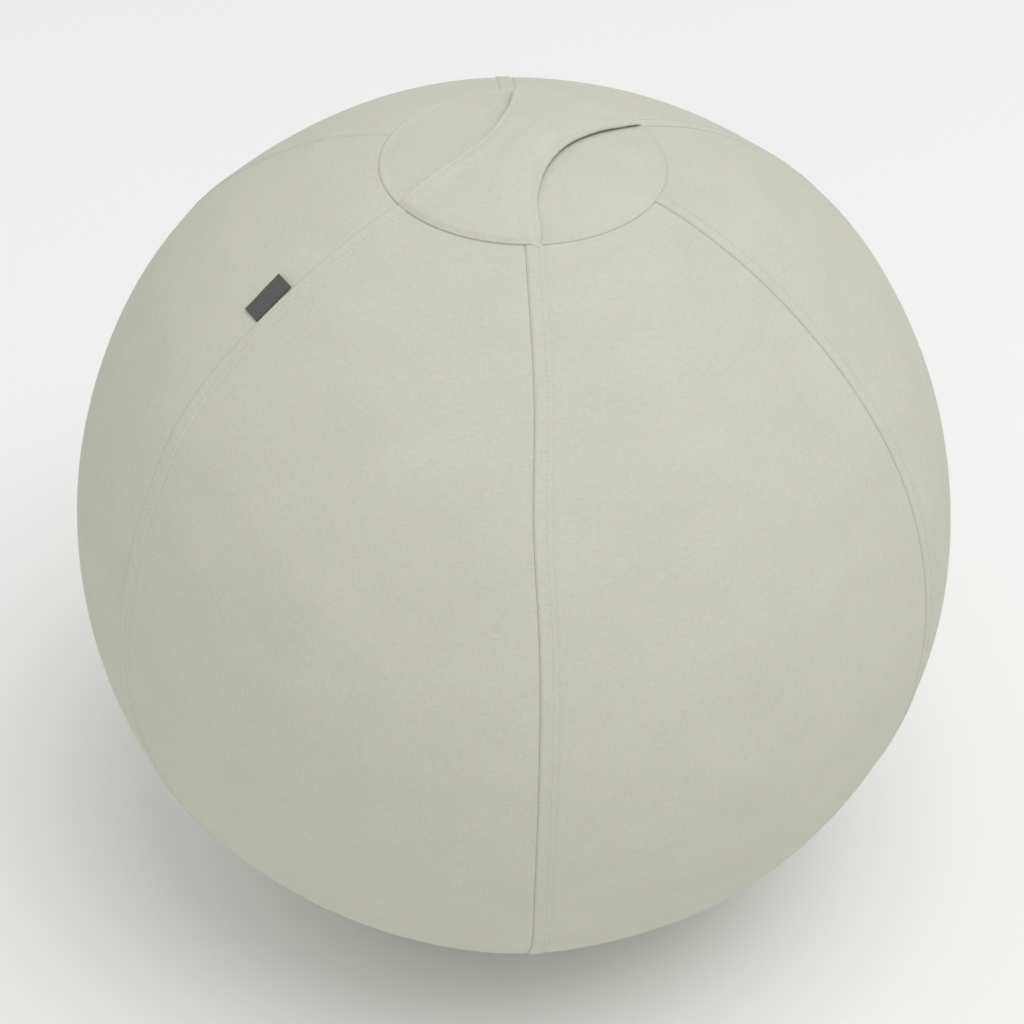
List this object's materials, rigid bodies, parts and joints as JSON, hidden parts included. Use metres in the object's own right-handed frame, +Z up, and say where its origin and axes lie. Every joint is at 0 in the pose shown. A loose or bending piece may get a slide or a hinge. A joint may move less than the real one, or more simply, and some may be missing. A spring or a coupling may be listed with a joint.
{
  "type": "balance ball chair",
  "caption": "Air-filled sitting ball in a fitted gored cloth cover with a carrying handle on top, a weighted flat base and a zip round the underside.",
  "frame": {"origin": "middle of the flat base, on the floor", "axes": "+Z up through the crown; -Y is the front, where the handle's front end is sewn in; the handle runs along Y"},
  "size_m": [0.6488, 0.647, 0.649],
  "materials": {
    "cover_cloth": "heathered matt weave",
    "handle_cloth": "heathered matt weave, doubled and hemmed",
    "label_ribbon": "dark grey woven ribbon, bare",
    "base_cloth": "non-slip coated cloth with raised dots",
    "pouch_cloth": "plain lining cloth",
    "sand": "dry washed sand",
    "ball_vinyl": "matt blown vinyl",
    "valve_plastic": "moulded white plastic",
    "zip_tape": "woven polyester tape",
    "zip_teeth": "moulded acetal teeth",
    "zip_metal": "painted zinc casting"
  },
  "bodies": {
    "root": {"gore_front": "cover_cloth", "gore_front_right": "cover_cloth", "gore_back_right": "cover_cloth", "gore_back": "cover_cloth", "gore_back_left": "cover_cloth", "gore_front_left": "cover_cloth", "top_cap": "cover_cloth", "handle_front_wing": "handle_cloth", "handle_back_wing": "handle_cloth", "base_skirt": "cover_cloth", "base_pad": "base_cloth", "weight_pouch_bottom": "pouch_cloth", "weight_pouch_top": "pouch_cloth", "weight_filling": "sand", "inner_ball": "ball_vinyl", "valve_seat": "valve_plastic", "valve_plug": "valve_plastic", "zip_tape_upper": "zip_tape", "zip_tape_lower": "zip_tape", "zip_teeth_upper": "zip_teeth", "zip_teeth_lower": "zip_teeth", "zip_stops": "zip_metal"},
    "handle": {"handle_grip": "handle_cloth"},
    "label": {"side_label": "label_ribbon"},
    "slider": {"zip_slider": "zip_metal"},
    "pull": {"zip_pull": "zip_metal"}
  },
  "joints": [
    {"name": "handle_lift", "type": "slide", "parent": "root", "child": "handle", "axis": [0, 0, 1], "range_m": [0, 0.045], "deforming": ["handle_front_wing", "handle_back_wing"]},
    {"name": "label_flap", "type": "hinge", "parent": "root", "child": "label", "pos_m": [-0.09825, -0.1685, 0.57949], "axis": [0.4322, 0.6778, 0.5948], "range_deg": [0, 140]},
    {"name": "zip_slide", "type": "hinge", "parent": "root", "child": "slider", "pos_m": [0, 0, 0.03161], "axis": [0, 0, -1], "range_deg": [0, 211], "deforming": ["zip_teeth_upper", "zip_teeth_lower"]},
    {"name": "pull_swing", "type": "hinge", "parent": "slider", "child": "pull", "pos_m": [-0.15218, -0.047, 0.02775], "axis": [0.2951, -0.9555, 0], "range_deg": [-115, 40]}
  ]
}
